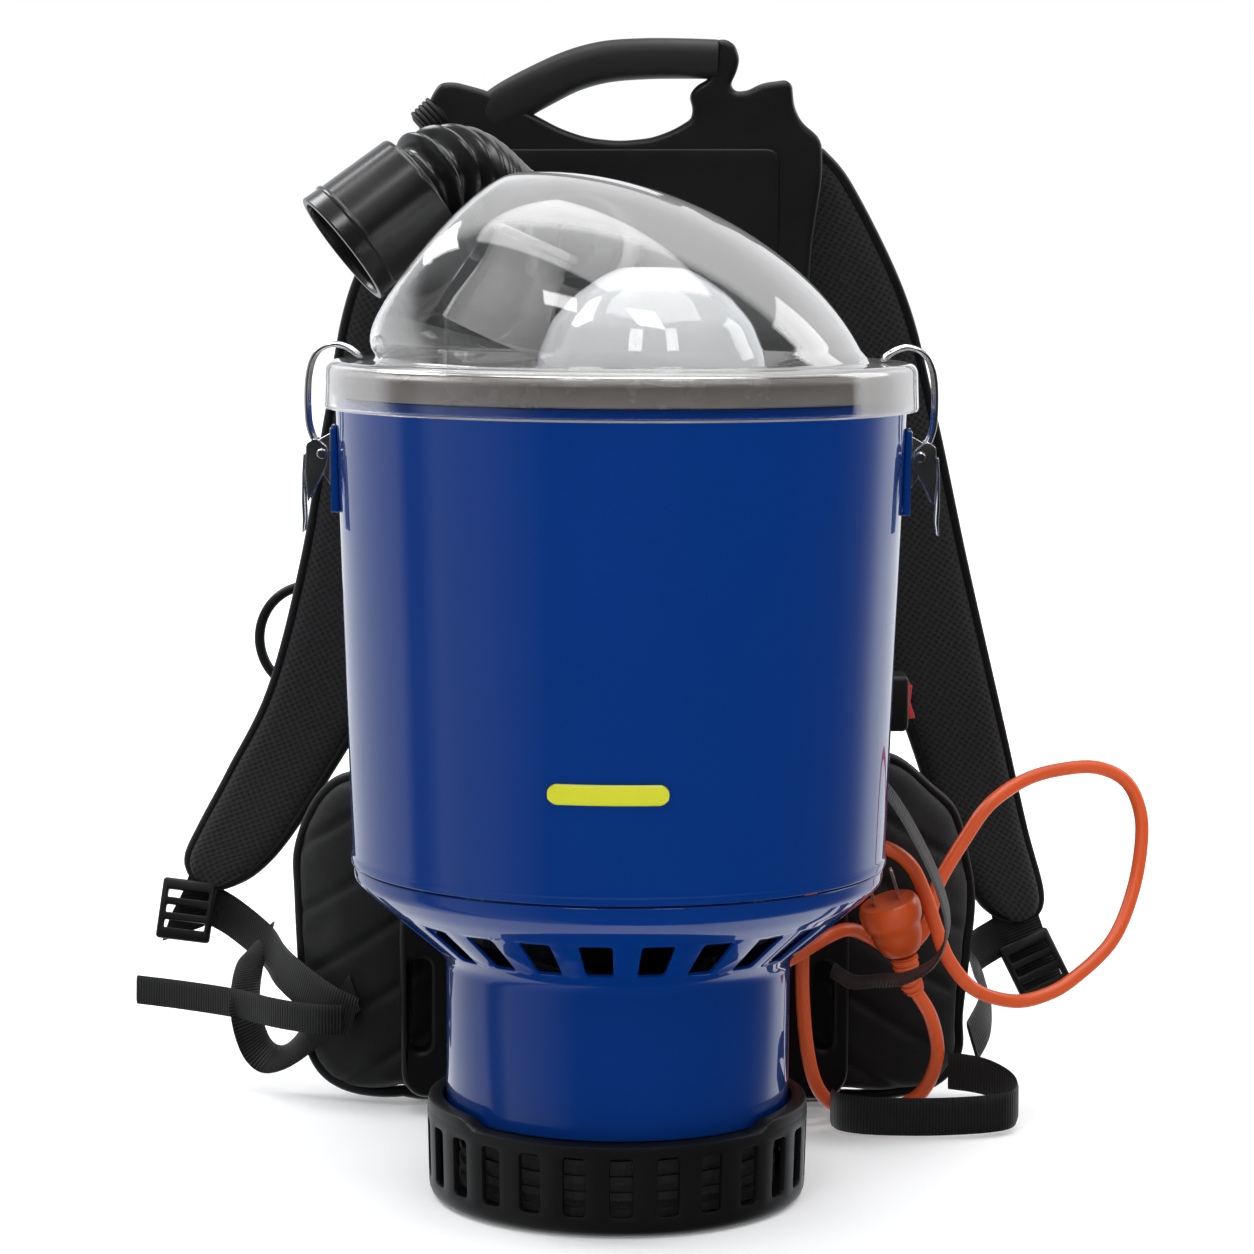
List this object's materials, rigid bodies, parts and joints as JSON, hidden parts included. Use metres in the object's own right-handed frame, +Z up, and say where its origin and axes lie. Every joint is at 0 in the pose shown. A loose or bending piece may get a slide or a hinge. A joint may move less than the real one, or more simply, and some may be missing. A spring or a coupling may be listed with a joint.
{
  "type": "backpack vacuum cleaner",
  "caption": "Backpack vacuum cleaner: blue steel tank with a clear domed lid and side latches, slotted black base, short hose, padded harness and orange power lead.",
  "frame": {"origin": "centre of the base's underside, on the tank's axis", "axes": "+Z up along the tank's axis, +Y towards the wearer, +X towards the power lead's side"},
  "size_m": [0.5557, 0.4112, 0.5714],
  "materials": {
    "blue_paint": "gloss",
    "black_plastic": "satin moulded",
    "black_gloss_plastic": "polished",
    "grey_plastic": "satin",
    "red_plastic": "gloss",
    "clear_plastic": "polished clear plastic",
    "seal_rubber": "smooth",
    "black_rubber": "satin",
    "orange_rubber": "satin",
    "chrome": "polished",
    "steel": "brushed",
    "aluminium": "cast",
    "copper": "lacquered winding",
    "filter": "pleated",
    "bag_cloth": "woven",
    "pad_fabric": "quilted",
    "webbing": "woven webbing",
    "badge": "gloss"
  },
  "bodies": {
    "carrier": {"base_ring": "black_plastic", "exhaust_filter": "filter", "motor_housing": "blue_paint", "motor_deck": "steel", "motor_filter": "filter", "motor_gasket": "black_rubber", "fan_shroud": "steel", "motor_shell": "steel", "motor_mount": "black_rubber", "bearing_upper": "steel", "bearing_lower": "steel", "tank": "blue_paint", "badge": "badge", "dust_bag": "bag_cloth", "bag_plate": "clear_plastic", "filter_dome": "clear_plastic", "back_frame": "black_plastic", "handle_grip": "black_rubber", "tank_bracket_upper": "steel", "tank_bracket_lower": "steel", "back_pad": "pad_fabric", "lumbar_pad": "pad_fabric", "hip_pad_left": "pad_fabric", "hip_pad_right": "pad_fabric", "shoulder_pad_left": "pad_fabric", "shoulder_pad_right": "pad_fabric", "webbing_left": "webbing", "webbing_tail_left": "webbing", "webbing_right": "webbing", "belt_loop_right": "webbing", "cord_loop": "webbing", "strap_buckle_left": "black_plastic", "strap_buckle_right": "black_plastic", "switch_housing": "black_plastic", "cord_gland": "grey_plastic", "power_cord": "orange_rubber", "cord_relief": "orange_rubber", "plug_body": "orange_rubber", "plug_pin_line": "chrome", "plug_pin_neutral": "chrome", "latch_plate_left": "blue_paint", "latch_bracket_left": "chrome", "latch_pin_left": "chrome", "latch_plate_right": "blue_paint", "latch_bracket_right": "chrome", "latch_pin_right": "chrome"},
    "lid": {"lid": "clear_plastic", "lid_gasket": "seal_rubber", "port_ring": "black_plastic", "hose_corrugated": "black_rubber", "inlet_tube": "clear_plastic"},
    "hose_cuff": {"hose_cuff": "black_gloss_plastic"},
    "rotor": {"impeller": "aluminium", "rotor_shaft": "steel", "armature": "copper"},
    "switch_rocker": {"switch_rocker": "red_plastic"},
    "lever_left": {"latch_lever_left": "chrome"},
    "bail_left": {"latch_bail_left": "chrome"},
    "lever_right": {"latch_lever_right": "chrome"},
    "bail_right": {"latch_bail_right": "chrome"}
  },
  "joints": [
    {"name": "lid_lift", "type": "slide", "parent": "carrier", "child": "lid", "axis": [0, 0, 1], "range_m": [0, 0.02]},
    {"name": "cuff_swivel", "type": "hinge", "parent": "lid", "child": "hose_cuff", "pos_m": [-0.1104, 0.0439, 0.4839], "axis": [-0.7663, -0.1791, -0.617], "continuous": true},
    {"name": "rotor_spin", "type": "hinge", "parent": "carrier", "child": "rotor", "pos_m": [0, 0, 0.1], "axis": [0, 0, 1], "continuous": true},
    {"name": "switch_rock", "type": "hinge", "parent": "carrier", "child": "switch_rocker", "pos_m": [0.1505, 0.16, 0.224], "axis": [0, 1, 0], "range_deg": [0, 12]},
    {"name": "lever_left_turn", "type": "hinge", "parent": "carrier", "child": "lever_left", "pos_m": [-0.144, 0, 0.3643], "axis": [0, 1, 0], "range_deg": [0, 21.1]},
    {"name": "bail_left_turn", "type": "hinge", "parent": "lever_left", "child": "bail_left", "pos_m": [-0.1482, 0, 0.3698], "axis": [0, -1, 0], "range_deg": [0, 89.9]},
    {"name": "lever_right_turn", "type": "hinge", "parent": "carrier", "child": "lever_right", "pos_m": [0.144, 0, 0.3643], "axis": [0, -1, 0], "range_deg": [0, 21.1]},
    {"name": "bail_right_turn", "type": "hinge", "parent": "lever_right", "child": "bail_right", "pos_m": [0.1482, 0, 0.3698], "axis": [0, 1, 0], "range_deg": [0, 89.9]}
  ],
  "couplings": [
    {"joint": "lever_left_turn", "follows": "lid_lift", "rad_per_m": 18},
    {"joint": "bail_left_turn", "follows": "lid_lift", "rad_per_m": 78},
    {"joint": "lever_right_turn", "follows": "lid_lift", "rad_per_m": 18},
    {"joint": "bail_right_turn", "follows": "lid_lift", "rad_per_m": 78}
  ]
}
